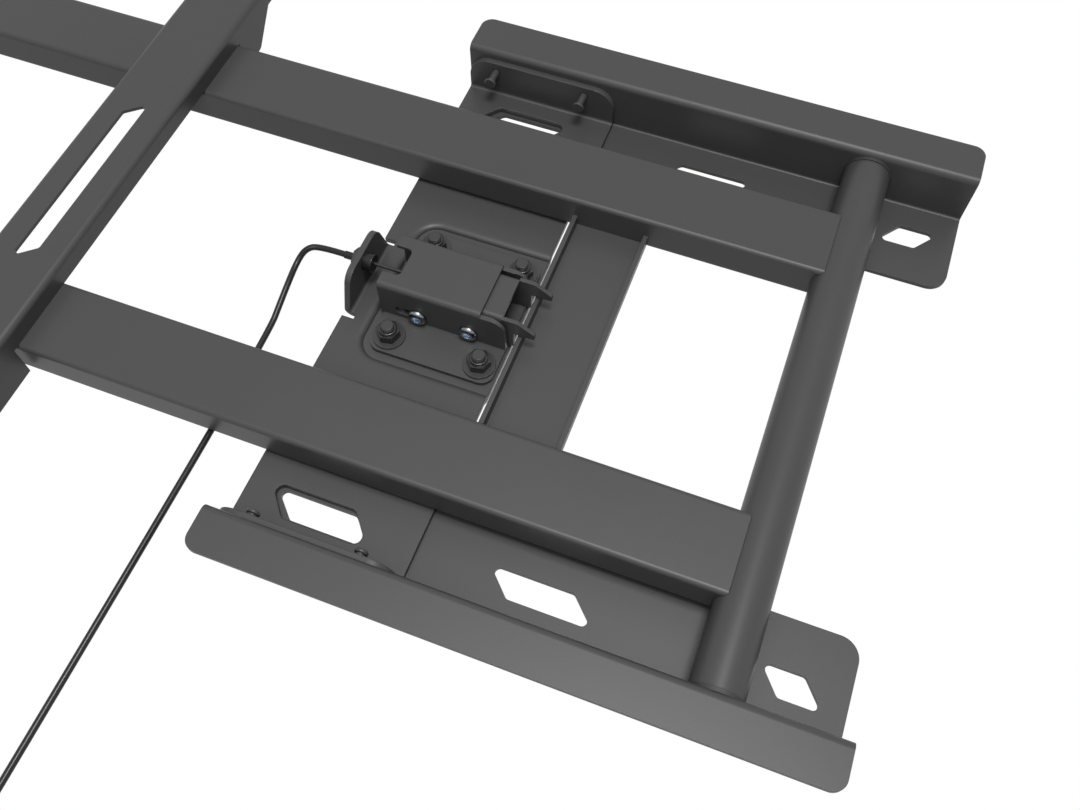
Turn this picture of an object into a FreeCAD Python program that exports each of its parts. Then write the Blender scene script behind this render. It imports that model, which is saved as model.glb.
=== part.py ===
import FreeCAD, Part
import math
import os

os.makedirs("parts", exist_ok=True)

# All sizes are millimetres. X runs along the tubes, Z is up, the wall is the plane y = 0
# and the mount stands out from it towards -Y. The origin is the middle of the latch
# plate's pressed pocket, on the wall.

# Wall profiles
PROFILE_LENGTH = 352.2
PROFILE_DEPTH = 40.0
PROFILE_SHEET = 3.0
PROFILE_LEFT = -65.5
INNER_HALF = 184.5
LIP_HEIGHT_TOP = 30.0
LIP_HEIGHT_BOTTOM = 27.0
FLANGE_HEIGHT = 62.0
PROFILE_BEND = 1.5
LIP_CORNER = 8.0
FLANGE_CORNER = 12.0
SLOT_HEIGHT = 16.0
SLOT_FROM_WEB_TOP = 26.7
SLOT_FROM_WEB_BOTTOM = 25.5
SLOT_CORNER = 3.0
LONG_SLOT_LENGTH = 49.8
SHORT_SLOT_LENGTH = 24.5
LONG_SLOT_SLANT = 15.8
SHORT_SLOT_SLANT = 12.8
SLOT_CENTRES = (-15.6, 116.1, 256.3)

# Latch plate with its pressed pocket, end tabs and cable tab
PLATE_SHEET = 4.0
PLATE_INSET = 1.0
PLATE_WIDTH = 107.0
PLATE_BEND = 2.0
TAB_REACH = 26.0
TAB_CORNER = 15.0
POCKET_LEFT = -49.5
POCKET_HALF = 57.5
POCKET_CORNER = 18.0
POCKET_STEP = 4.0
POCKET_RIM_ROUND = 1.6
PLATE_SLOT_MARGIN = 1.6
PLATE_SLOT_SHIFT = -2.2
CABLE_TAB_ROOT_HALF = 28.5
CABLE_TAB_FRONT_HALF = 19.5
CABLE_TAB_REACH = 26.0
CABLE_TAB_CORNER = 10.0
RELIEF_WIDTH = 4.0
RELIEF_DEPTH = 8.0

# Rivets in the end tabs
RIVET_SHANK = 5.0
RIVET_HEAD = 8.0
RIVET_HEAD_THICK = 2.2
RIVET_STAND_TOP = 10.0
RIVET_STAND_BOTTOM = 2.6
RIVET_PLACES = (-44.5, 20.5)
RIVET_FRONT = 25.5

# Latch
BASE_SHEET = 3.0
BASE_LEFT = -40.5
BASE_RIGHT = 41.0
BASE_HALF = 48.0
BASE_CORNER = 8.0
STUD_DIAMETER = 8.0
STUD_HEAD = 11.0
STUD_HEAD_THICK = 1.8
STUD_REACH = 19.5
STUD_HALF_X = 30.1
STUD_HALF_Z = 36.3
WASHER_DIAMETER = 20.4
WASHER_THICK = 1.6
NUT_FLATS = 13.0
NUT_HEX_HEIGHT = 6.0
NUT_COLLAR = 11.4
NUT_COLLAR_HEIGHT = 2.0
HOUSING_SHEET = 2.5
LATCH_BEND = 1.0
HOUSING_LEFT = -42.5
HOUSING_RIGHT = 41.2
HOUSING_WEB_RIGHT = 25.1
HOUSING_HALF = 20.6
HOUSING_FRONT = 36.0
HOUSING_CHEEK_CORNER = 9.0
WIRE_NOTCH_RIGHT = -31.1
WIRE_NOTCH_HALF = 10.5
WIRE_NOTCH_CORNER = 3.5
SLIDE_SIDE_GAP = 1.7
SLIDE_WEB_GAP = 0.5
SLIDE_FOOT_GAP = 0.5
SLIDE_WEB_LEFT = -28.5
SLIDE_WEB_RIGHT = 37.5
SLIDE_CHEEK_RIGHT = 45.0
HOOK_TIP = 58.4
HOOK_BACK = 21.5
HOOK_NOSE = 26.0
HOOK_SHOULDER = 47.5
HOOK_ROUND = 2.5
SLIDE_TRAVEL = 12.0
LUG_HALF = 8.0
LUG_REACH = 15.0
CROSS_SCREW_DIAMETER = 6.0
CROSS_SCREW_HEAD = 12.0
CROSS_SCREW_HEAD_THICK = 3.2
CROSS_SCREW_SOCKET = 4.0
CROSS_SCREW_DEPTH = 14.2
SLIDE_SCREW_X = -16.9
HOUSING_SCREW_X = 17.0
CROSS_SLOT_PLAY = 0.3
CROSS_NUT_FLATS = 10.0
CROSS_NUT_HEIGHT = 5.0
SPRING_WIRE = 1.3
SPRING_RADIUS = 4.2
SPRING_TURNS = 8
SPRING_EYE_PLAY = 0.3
SPRING_KNUCKLE = 0.53

# Release cable
WIRE_DIAMETER = 2.6
WIRE_PLAY = 0.08
CABLE_DEPTH = 24.5
NIPPLE_DIAMETER = 6.4
NIPPLE_LENGTH = 2.4
BUSH_BOSS = 12.0
BUSH_BOSS_LENGTH = 6.2
BUSH_NECK = 8.0
BUSH_THREAD_LENGTH = 4.0
BUSH_NUT_FLATS = 12.0
BUSH_NUT_HEIGHT = 3.0
FERRULE_DIAMETER = 5.0
FERRULE_LENGTH = 6.0
SHEATH_DIAMETER = 4.0
CORD_X = -101.5
CORD_SETTLED_X = -98.8
CORD_FIRST_RUN = 12.0
CORD_DEPTH_LOW = 4.5
CORD_SETTLED = -68.0
CORD_END = -362.0
END_FERRULE_LENGTH = 20.0
RING_GAP = 6.0
RING_HALF_WIDTH = 17.0
RING_HEIGHT = 48.0
RING_THICK = 7.0
RING_HOLE_RADIUS = 10.5
RING_EDGE_ROUND = 2.0

# Swing frame
COLUMN_X = 219.0
COLUMN_DEPTH = 21.0
COLUMN_DIAMETER = 30.0
COLUMN_WALL = 3.0
HINGE_WASHER_DIAMETER = 31.6
HINGE_WASHER_THICK = 2.5
PLUG_LENGTH = 30.0
PIVOT_DIAMETER = 10.0
PIVOT_PLAY = 0.06
PIVOT_ENGAGED = 26.0
PIVOT_FLATS = 16.0
PIVOT_HEAD_HEIGHT = 6.4
WELD_NUT_HEIGHT = 8.0
TUBE_HEIGHT = 50.0
TUBE_DEPTH = 25.0
TUBE_WALL = 2.0
TUBE_CORNER = 3.0
TUBE_BACK = 8.5
TUBE_OUTER_HALF = 134.5
TUBE_RIGHT = 210.0
TUBE_PAST_RAIL = 20.5
CAP_PLATE = 3.0
CAP_INSERT = 12.0
CAP_INSERT_GAP = 0.3
STRIKE_LEFT = 47.5
STRIKE_WIDTH = 51.0
STRIKE_SHEET = 3.0
STRIKE_DEPTH = 11.0

# Screen rails
RAIL_SHEET = 2.5
RAIL_WIDTH = 49.0
RAIL_RIGHT_CENTRE = -245.0
RAIL_SPACING = 400.0
RAIL_HALF_LENGTH = 235.0
RAIL_RISE = 13.9
RAIL_END_CORNER = 6.0
EAR_REACH = 22.0
EAR_UPPER_RISE = 43.5
EAR_LOWER_GAP = 3.0
EAR_LOWER_DROP = 65.5
SCREEN_HOLE_HALF = 200.0
SCREEN_HOLE = 8.5
RAIL_SLOT_WIDTH = 13.0
RAIL_SLOT_LENGTH = 126.0
RAIL_SLOT_CENTRE = -17.6
RAIL_SLOT_SLANT = 11.0
RAIL_SLOT_CORNER = 2.5
LOCK_SCREW_DIAMETER = 6.0
LOCK_SCREW_DROP = 37.5
LOCK_SCREW_FRONT = 24.0
LOCK_HEAD = 10.5
LOCK_HEAD_THICK = 3.3

HOLE_PLAY = 0.2

# Places that follow from the sizes above
PLATE_LEFT = PROFILE_LEFT + PLATE_INSET
PLATE_BACK = -PROFILE_SHEET
PLATE_FRONT = PLATE_BACK - PLATE_SHEET
PLATE_RIGHT = PLATE_LEFT + PLATE_WIDTH
POCKET_FRONT = -PLATE_SHEET
BASE_FRONT = POCKET_FRONT - BASE_SHEET
TUBE_FRONT = TUBE_BACK + TUBE_DEPTH
TUBE_LEFT = RAIL_RIGHT_CENTRE - RAIL_SPACING - RAIL_WIDTH / 2.0 - TUBE_PAST_RAIL
TUBE_INNER_HALF = TUBE_OUTER_HALF - TUBE_HEIGHT
EAR_UPPER_TOP = TUBE_OUTER_HALF + EAR_UPPER_RISE
EAR_LOWER_BOTTOM = -TUBE_OUTER_HALF - EAR_LOWER_DROP
LOCK_SCREW_HEIGHT = -TUBE_OUTER_HALF - LOCK_SCREW_DROP
RAIL_FRONT = TUBE_FRONT + RAIL_RISE
COLUMN_HALF = INNER_HALF - HINGE_WASHER_THICK
SLIDE_HALF = HOUSING_HALF - HOUSING_SHEET - SLIDE_SIDE_GAP
SLIDE_FRONT = HOUSING_FRONT - HOUSING_SHEET - SLIDE_WEB_GAP
SLIDE_FOOT = -BASE_FRONT + SLIDE_FOOT_GAP
BUSH_LEFT = PLATE_LEFT - BUSH_THREAD_LENGTH
FERRULE_LEFT = BUSH_LEFT - FERRULE_LENGTH
RING_TOP = CORD_END - END_FERRULE_LENGTH - RING_GAP

UP = FreeCAD.Vector(0, 0, 1)
ALONG = FreeCAD.Vector(1, 0, 0)
OUT = FreeCAD.Vector(0, -1, 0)


def vec(x, y, z):
    return FreeCAD.Vector(x, y, z)


def save(name, solids):
    """Write one node, made of one solid or of several separate ones."""
    pieces = solids if isinstance(solids, list) else [solids]
    checked = []
    for piece in pieces:
        for solid in piece.Solids:
            checked.append(solid)
            if not solid.isValid():
                print("not valid:", name)
    shape = checked[0] if len(checked) == 1 else Part.makeCompound(checked)
    shape.exportStep("parts/" + name + ".step")
    print(name, len(checked), "solid(s)", round(shape.Volume / 1000.0, 2), "cm3")


def bent_outline(corners, thick, inner, normal):
    """Face of a folded sheet: straight runs between corner points of the sheet's
    middle line, with a round bend of the given inner radius at each inside corner."""
    mean = inner + thick / 2.0
    runs = [(b - a).normalize() for a, b in zip(corners, corners[1:])]
    sides = {1: [], -1: []}
    for side in sides:
        start = corners[0] + normal.cross(runs[0]) * (side * thick / 2.0)
        for place in range(1, len(corners) - 1):
            before = runs[place - 1]
            after = runs[place]
            turn = before.getAngle(after)
            reach = mean * math.tan(turn / 2.0)
            left = 1 if normal.dot(before.cross(after)) > 0 else -1
            touch = corners[place] - before * reach
            leave = corners[place] + after * reach
            centre = touch + normal.cross(before) * (left * mean)
            radius = mean - side * left * thick / 2.0
            middle = centre + (corners[place] - centre).normalize() * radius
            first = touch + normal.cross(before) * (side * thick / 2.0)
            last = leave + normal.cross(after) * (side * thick / 2.0)
            sides[side].append(Part.makeLine(start, first))
            sides[side].append(Part.Arc(first, middle, last).toShape())
            start = last
        end = corners[-1] + normal.cross(runs[-1]) * (side * thick / 2.0)
        sides[side].append(Part.makeLine(start, end))
    ends = [
        Part.makeLine(sides[1][0].Vertexes[0].Point, sides[-1][0].Vertexes[0].Point),
        Part.makeLine(sides[1][-1].Vertexes[-1].Point, sides[-1][-1].Vertexes[-1].Point),
    ]
    wire = Part.Wire(Part.__sortEdges__(sides[1] + sides[-1] + ends))
    return Part.Face(wire)


def polygon_face(points):
    return Part.Face(Part.makePolygon(points + [points[0]]))


def box(x_low, x_high, y_low, y_high, z_low, z_high):
    return Part.makeBox(x_high - x_low, y_high - y_low, z_high - z_low, vec(x_low, y_low, z_low))


def round_edges(shape, radius, wanted):
    """Fillet every edge that the test function picks."""
    edges = [edge for edge in shape.Edges if wanted(edge)]
    return shape.makeFillet(radius, edges)


def straight_along(edge, axis):
    if len(edge.Vertexes) < 2 or edge.Curve.TypeId != "Part::GeomLine":
        return False
    return abs(abs((edge.Vertexes[1].Point - edge.Vertexes[0].Point).normalize().dot(axis)) - 1) < 1e-6


def slanted_slot(x, z, length, height, slant, corner, y_low, y_high, lean):
    """Slot with sloping ends and round corners, through the sheet along Y. The side
    away from z = 0 is moved by half the slant towards +X, or by -X for lean -1."""
    shift = lean * slant / 2.0
    low = z - height / 2.0
    high = z + height / 2.0
    face = polygon_face([
        vec(x - length / 2.0 - shift, y_low, low),
        vec(x + length / 2.0 - shift, y_low, low),
        vec(x + length / 2.0 + shift, y_low, high),
        vec(x - length / 2.0 + shift, y_low, high),
    ])
    solid = face.extrude(vec(0, y_high - y_low, 0))
    return round_edges(solid, corner, lambda edge: straight_along(edge, OUT))


def hexagon(flats, height, base, axis, spin=0.0):
    """Six-sided prism standing on base along axis."""
    radius = flats / math.sqrt(3.0)
    across = axis.cross(UP) if abs(axis.dot(UP)) < 0.9 else vec(1, 0, 0)
    across.normalize()
    other = axis.cross(across)
    points = []
    for step in range(6):
        angle = math.radians(60 * step + spin)
        points.append(base + across * (radius * math.cos(angle)) + other * (radius * math.sin(angle)))
    return polygon_face(points).extrude(axis * height)


def drum(diameter, height, base, axis):
    return Part.makeCylinder(diameter / 2.0, height, base, axis)


def chamfered_hex(flats, height, base, axis, spin=0.0):
    """Hexagon with its outer corners turned down at the far end."""
    prism = hexagon(flats, height, base, axis, spin)
    corner = flats / math.sqrt(3.0)
    cone = Part.makeCone(corner + height, corner * 0.93, height + corner * 0.07, base, axis)
    return prism.common(cone)


def slot_from_web(sign):
    return SLOT_FROM_WEB_TOP if sign > 0 else SLOT_FROM_WEB_BOTTOM


def lip_edge(sign):
    return INNER_HALF + (LIP_HEIGHT_TOP if sign > 0 else LIP_HEIGHT_BOTTOM)


def wall_slots(sign):
    """The three slots of one wall profile, as cutters."""
    z = sign * (INNER_HALF - slot_from_web(sign))
    cutters = []
    for place in SLOT_CENTRES:
        short = place == SLOT_CENTRES[-1]
        length = SHORT_SLOT_LENGTH if short else LONG_SLOT_LENGTH
        slant = SHORT_SLOT_SLANT if short else LONG_SLOT_SLANT
        cutters.append(slanted_slot(place, z, length, SLOT_HEIGHT, slant, SLOT_CORNER,
                                    -PROFILE_SHEET - 1, 1, sign))
    return cutters


def profile_sheet(sign):
    """Bent sheet of a profile with its outer corners rounded."""
    half = PROFILE_SHEET / 2.0
    web = INNER_HALF + half
    corners = [
        vec(PROFILE_LEFT, -half, sign * (INNER_HALF - FLANGE_HEIGHT)),
        vec(PROFILE_LEFT, -half, sign * web),
        vec(PROFILE_LEFT, half - PROFILE_DEPTH, sign * web),
        vec(PROFILE_LEFT, half - PROFILE_DEPTH, sign * lip_edge(sign)),
    ]
    sheet = bent_outline(corners, PROFILE_SHEET, PROFILE_BEND, ALONG)
    solid = sheet.extrude(ALONG * PROFILE_LENGTH)

    def lip_corner(edge):
        return straight_along(edge, OUT) and abs(edge.BoundBox.ZMin - sign * lip_edge(sign)) < 0.1

    def flange_corner(edge):
        flange_edge = sign * (INNER_HALF - FLANGE_HEIGHT)
        return straight_along(edge, OUT) and abs(edge.BoundBox.ZMin - flange_edge) < 0.1

    solid = round_edges(solid, LIP_CORNER, lip_corner)
    return round_edges(solid, FLANGE_CORNER, flange_corner)


def wall_profile(sign):
    """Folded profile: lip at the front, web back to the wall, flange flat on the wall."""
    solid = profile_sheet(sign)
    for cutter in wall_slots(sign):
        solid = solid.cut(cutter)
    hole = drum(PIVOT_DIAMETER + 2 * HOLE_PLAY, 3 * PROFILE_SHEET,
                vec(COLUMN_X, -COLUMN_DEPTH, sign * (INNER_HALF - PROFILE_SHEET)), UP * sign)
    solid = solid.cut(hole)
    for place in RIVET_PLACES:
        rivet = drum(RIVET_SHANK + 2 * HOLE_PLAY, 3 * PROFILE_SHEET,
                     vec(place, -RIVET_FRONT, sign * (INNER_HALF - PROFILE_SHEET)), UP * sign)
        solid = solid.cut(rivet)
    return solid


def pocket_body(grow, rim_y, floor_y):
    """Tapered block from the pocket's rim outline to its floor outline."""
    outlines = []
    for step, y in ((0.0, rim_y), (POCKET_STEP, floor_y)):
        left = POCKET_LEFT - grow + step
        half = POCKET_HALF + grow - step
        corner = POCKET_CORNER + grow - step
        plan = box(left, PLATE_RIGHT + POCKET_HALF, y, y + 1, -half, half)
        plan = round_edges(plan, corner,
                           lambda edge: straight_along(edge, OUT) and edge.BoundBox.XMin < left + 0.1)
        face = [item for item in plan.Faces if abs(item.CenterOfMass.y - y) < 1e-6][0]
        outlines.append(face.OuterWire)
    return Part.makeLoft(outlines, True, True)


def cable_tab():
    """Sheet bent forward from the plate's left edge, with sloping, rounded shoulders."""
    middle = PLATE_BACK - PLATE_SHEET / 2.0
    corners = [
        vec(PLATE_LEFT + RELIEF_DEPTH, middle, -CABLE_TAB_ROOT_HALF),
        vec(PLATE_LEFT + PLATE_SHEET / 2.0, middle, -CABLE_TAB_ROOT_HALF),
        vec(PLATE_LEFT + PLATE_SHEET / 2.0, PLATE_FRONT - CABLE_TAB_REACH, -CABLE_TAB_ROOT_HALF),
    ]
    solid = bent_outline(corners, PLATE_SHEET, PLATE_BEND, UP).extrude(UP * (2 * CABLE_TAB_ROOT_HALF))
    front = PLATE_FRONT - CABLE_TAB_REACH
    slope = polygon_face([
        vec(PLATE_LEFT - 1, 0, -CABLE_TAB_ROOT_HALF),
        vec(PLATE_LEFT - 1, PLATE_FRONT, -CABLE_TAB_ROOT_HALF),
        vec(PLATE_LEFT - 1, front, -CABLE_TAB_FRONT_HALF),
        vec(PLATE_LEFT - 1, front, CABLE_TAB_FRONT_HALF),
        vec(PLATE_LEFT - 1, PLATE_FRONT, CABLE_TAB_ROOT_HALF),
        vec(PLATE_LEFT - 1, 0, CABLE_TAB_ROOT_HALF),
    ]).extrude(ALONG * (RELIEF_DEPTH + 2))
    slope = round_edges(slope, CABLE_TAB_CORNER,
                        lambda edge: straight_along(edge, ALONG) and abs(edge.BoundBox.YMin - front) < 0.1)
    solid = solid.common(slope)
    bore = drum(BUSH_NECK + 2 * HOLE_PLAY, 3 * PLATE_SHEET, vec(PLATE_LEFT - PLATE_SHEET, -CABLE_DEPTH, 0),
                ALONG)
    return solid.cut(bore)


def plate_sheet():
    """The plate's sheet with its two end tabs bent forward."""
    middle = PLATE_BACK - PLATE_SHEET / 2.0
    tab_z = INNER_HALF - PLATE_SHEET / 2.0
    tab_front = PLATE_FRONT - TAB_REACH
    corners = [
        vec(PLATE_LEFT, tab_front, -tab_z),
        vec(PLATE_LEFT, middle, -tab_z),
        vec(PLATE_LEFT, middle, tab_z),
        vec(PLATE_LEFT, tab_front, tab_z),
    ]
    solid = bent_outline(corners, PLATE_SHEET, PLATE_BEND, ALONG).extrude(ALONG * PLATE_WIDTH)
    return round_edges(solid, TAB_CORNER,
                       lambda edge: straight_along(edge, UP) and abs(edge.BoundBox.YMin - tab_front) < 0.1)


def press_pocket(solid):
    """Pocket pressed towards the wall, open at the plate's right edge."""
    trim = box(PLATE_LEFT, PLATE_RIGHT, 2 * PLATE_FRONT, 1, -INNER_HALF, INNER_HALF)
    solid = solid.fuse(pocket_body(PLATE_SHEET * 0.4, PLATE_BACK, 0).common(trim))
    solid = solid.cut(pocket_body(0.0, PLATE_FRONT, POCKET_FRONT)).removeSplitter()
    return round_pocket_rim(solid)


def cut_plate_slots(solid):
    """Windows over the profiles' slots, a little larger than they are."""
    for sign in (-1, 1):
        z = sign * (INNER_HALF - slot_from_web(sign))
        solid = solid.cut(slanted_slot(SLOT_CENTRES[0] + PLATE_SLOT_SHIFT, z,
                                       LONG_SLOT_LENGTH + 2 * PLATE_SLOT_MARGIN,
                                       SLOT_HEIGHT + 2 * PLATE_SLOT_MARGIN, LONG_SLOT_SLANT,
                                       SLOT_CORNER + PLATE_SLOT_MARGIN, PLATE_FRONT - 1, PLATE_BACK + 1,
                                       sign))
    return solid


def add_cable_tab(solid):
    """Relief notches in the left edge and the cable tab between them."""
    relief = CABLE_TAB_ROOT_HALF + RELIEF_WIDTH
    solid = solid.cut(box(PLATE_LEFT - 1, PLATE_LEFT + RELIEF_DEPTH, PLATE_FRONT - 1, 1, -relief, relief))
    return solid.fuse(cable_tab()).removeSplitter()


def drill_plate(solid):
    """Stud holes with room for the stud heads, and the rivet holes in the end tabs."""
    for x in (-STUD_HALF_X, STUD_HALF_X):
        for z in (-STUD_HALF_Z, STUD_HALF_Z):
            solid = solid.cut(drum(STUD_DIAMETER + 2 * HOLE_PLAY, 3 * PLATE_SHEET, vec(x, 1, z), OUT))
            solid = solid.cut(drum(STUD_HEAD + 2 * HOLE_PLAY, STUD_HEAD_THICK, vec(x, 0, z), OUT))
    for sign in (-1, 1):
        for place in RIVET_PLACES:
            hole = drum(RIVET_SHANK + 2 * HOLE_PLAY, 3 * PLATE_SHEET,
                        vec(place, -RIVET_FRONT, sign * (INNER_HALF - 2 * PLATE_SHEET)), UP * sign)
            solid = solid.cut(hole)
    return solid


def latch_plate():
    """Plate over both wall flanges, with a pressed pocket and forward tabs."""
    return drill_plate(add_cable_tab(cut_plate_slots(press_pocket(plate_sheet()))))


def round_pocket_rim(solid):
    """Soft outer rim of the pocket, where the pressed sheet turns over."""
    def on_rim(edge):
        bounds = edge.BoundBox
        flat = abs(bounds.YMin - PLATE_FRONT) < 1e-4 and abs(bounds.YMax - PLATE_FRONT) < 1e-4
        inside = bounds.ZMax < POCKET_HALF + 0.1 and bounds.ZMin > -POCKET_HALF - 0.1
        return flat and inside and bounds.XMin > POCKET_LEFT - 0.1 and bounds.XMin < PLATE_RIGHT - 0.1
    return round_edges(solid, POCKET_RIM_ROUND, on_rim)


def tab_rivets():
    """Rivets through the plate's end tabs and the profile webs, heads towards the middle."""
    rivets = []
    for sign, stand in ((-1, RIVET_STAND_BOTTOM), (1, RIVET_STAND_TOP)):
        for place in RIVET_PLACES:
            base = vec(place, -RIVET_FRONT, sign * (INNER_HALF + PROFILE_SHEET))
            tail = drum(RIVET_HEAD, RIVET_HEAD_THICK * 0.6, base, UP * sign)
            reach = PROFILE_SHEET + PLATE_SHEET + stand
            shank = drum(RIVET_SHANK, reach, base, UP * -sign)
            head = drum(RIVET_HEAD, RIVET_HEAD_THICK, base - UP * (sign * (reach - 0.01)), UP * -sign)
            head = round_edges(head, 0.8, lambda edge: len(edge.Vertexes) == 1)
            rivets.append(shank.fuse(tail).fuse(head).removeSplitter())
    return rivets


def latch_base():
    solid = box(BASE_LEFT, BASE_RIGHT, BASE_FRONT, POCKET_FRONT, -BASE_HALF, BASE_HALF)
    solid = round_edges(solid, BASE_CORNER, lambda edge: straight_along(edge, OUT))
    for x in (-STUD_HALF_X, STUD_HALF_X):
        for z in (-STUD_HALF_Z, STUD_HALF_Z):
            solid = solid.cut(drum(STUD_DIAMETER + 2 * HOLE_PLAY, 3 * BASE_SHEET, vec(x, 0, z), OUT))
    return solid


def at_studs(make):
    """One piece at each of the four studs."""
    pieces = []
    for x in (-STUD_HALF_X, STUD_HALF_X):
        for z in (-STUD_HALF_Z, STUD_HALF_Z):
            pieces.append(make(x, z))
    return pieces


def stud(x, z):
    head = drum(STUD_HEAD, STUD_HEAD_THICK, vec(x, 0, z), OUT)
    shank = drum(STUD_DIAMETER, STUD_REACH, vec(x, 0, z), OUT)
    shank = shank.makeChamfer(0.6,
                              [edge for edge in shank.Edges if abs(edge.BoundBox.YMax + STUD_REACH) < 1e-3])
    return head.fuse(shank).removeSplitter()


def washer(x, z):
    ring = drum(WASHER_DIAMETER, WASHER_THICK, vec(x, BASE_FRONT, z), OUT)
    return ring.cut(drum(STUD_DIAMETER + 2 * HOLE_PLAY, 3 * WASHER_THICK,
                         vec(x, 0, z) + OUT * (-BASE_FRONT - 1), OUT))


def lock_nut(x, z):
    base = vec(x, BASE_FRONT - WASHER_THICK, z)
    body = chamfered_hex(NUT_FLATS, NUT_HEX_HEIGHT, base, OUT, 12.0)
    collar = drum(NUT_COLLAR, NUT_COLLAR_HEIGHT, base + OUT * (NUT_HEX_HEIGHT - 0.01), OUT)
    far = base.y - NUT_HEX_HEIGHT - NUT_COLLAR_HEIGHT
    collar = round_edges(collar, 0.8, lambda edge: len(edge.Vertexes) == 1
                             and edge.BoundBox.YMax < far + 0.1)
    bore = drum(STUD_DIAMETER + 0.1, STUD_REACH, vec(x, 0, z), OUT)
    return body.fuse(collar).cut(bore).removeSplitter()


def cross_slot(left, right, z_low, z_high):
    """Round-ended slot for a cross screw, through both cheeks."""
    width = CROSS_SCREW_DIAMETER + 2 * CROSS_SLOT_PLAY
    height = z_high - z_low
    first = drum(width, height, vec(left, -CROSS_SCREW_DEPTH, z_low), UP)
    last = drum(width, height, vec(right, -CROSS_SCREW_DEPTH, z_low), UP)
    bar = box(left, right, -CROSS_SCREW_DEPTH - width / 2.0, -CROSS_SCREW_DEPTH + width / 2.0, z_low,
              z_high)
    return first.fuse(last).fuse(bar)


def housing_sheet():
    """The cover's bent sheet, its web shorter than the cheeks at the hook end."""
    half = HOUSING_SHEET / 2.0
    corners = [
        vec(HOUSING_LEFT, BASE_FRONT, -HOUSING_HALF + half),
        vec(HOUSING_LEFT, -HOUSING_FRONT + half, -HOUSING_HALF + half),
        vec(HOUSING_LEFT, -HOUSING_FRONT + half, HOUSING_HALF - half),
        vec(HOUSING_LEFT, BASE_FRONT, HOUSING_HALF - half),
    ]
    solid = bent_outline(corners, HOUSING_SHEET, LATCH_BEND, ALONG)
    solid = solid.extrude(ALONG * (HOUSING_RIGHT - HOUSING_LEFT))
    cheek_front = -HOUSING_FRONT + HOUSING_SHEET
    solid = solid.cut(box(HOUSING_WEB_RIGHT, HOUSING_RIGHT + 1, -HOUSING_FRONT - 1, cheek_front,
                          -HOUSING_HALF - 1, HOUSING_HALF + 1))
    cheek = box(HOUSING_LEFT - 1, HOUSING_RIGHT, -HOUSING_FRONT - 9, 0, -HOUSING_HALF - 1, HOUSING_HALF + 1)
    slab = box(HOUSING_WEB_RIGHT, HOUSING_RIGHT, cheek_front, 0, -HOUSING_HALF - 1, HOUSING_HALF + 1)
    slab = round_edges(slab, HOUSING_CHEEK_CORNER,
                       lambda edge: straight_along(edge, UP)
                       and edge.BoundBox.XMin > HOUSING_RIGHT - 0.1
                       and edge.BoundBox.YMin < cheek_front + 0.1)
    rest = box(HOUSING_LEFT - 1, HOUSING_WEB_RIGHT, -HOUSING_FRONT - 9, 0, -HOUSING_HALF - 1,
               HOUSING_HALF + 1)
    return solid.common(cheek).common(rest.fuse(slab))


def latch_housing():
    """Fixed outer cover, open at both ends, welded to the base plate by its cheeks."""
    solid = housing_sheet()
    cheek_front = -HOUSING_FRONT + HOUSING_SHEET
    notch = box(HOUSING_LEFT - 9, WIRE_NOTCH_RIGHT, -HOUSING_FRONT - 1, cheek_front + 1, -WIRE_NOTCH_HALF,
                WIRE_NOTCH_HALF)
    notch = round_edges(notch, WIRE_NOTCH_CORNER, lambda edge: straight_along(edge, OUT)
                        and edge.BoundBox.XMin > WIRE_NOTCH_RIGHT - 0.1)
    solid = solid.cut(notch)
    solid = solid.cut(cross_slot(SLIDE_SCREW_X - SLIDE_TRAVEL, SLIDE_SCREW_X, -HOUSING_HALF - 1,
                                 HOUSING_HALF + 1))
    hole = drum(CROSS_SCREW_DIAMETER + 2 * HOLE_PLAY, 4 * HOUSING_HALF,
                vec(HOUSING_SCREW_X, -CROSS_SCREW_DEPTH, -2 * HOUSING_HALF), UP)
    return solid.cut(hole)


def hook_cheek(z_low):
    """One cheek of the slide, ending in the bevelled hook."""
    face = polygon_face([
        vec(SLIDE_WEB_LEFT, -SLIDE_FOOT, z_low),
        vec(SLIDE_CHEEK_RIGHT, -SLIDE_FOOT, z_low),
        vec(SLIDE_CHEEK_RIGHT, -HOOK_BACK, z_low),
        vec(HOOK_TIP, -HOOK_BACK, z_low),
        vec(HOOK_TIP, -HOOK_NOSE, z_low),
        vec(HOOK_SHOULDER, -SLIDE_FRONT, z_low),
        vec(SLIDE_WEB_LEFT, -SLIDE_FRONT, z_low),
    ])
    solid = face.extrude(UP * HOUSING_SHEET)
    return round_edges(solid, HOOK_ROUND, lambda edge: straight_along(edge, UP)
                       and abs(edge.BoundBox.XMin - HOOK_SHOULDER) < 0.1)


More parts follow.
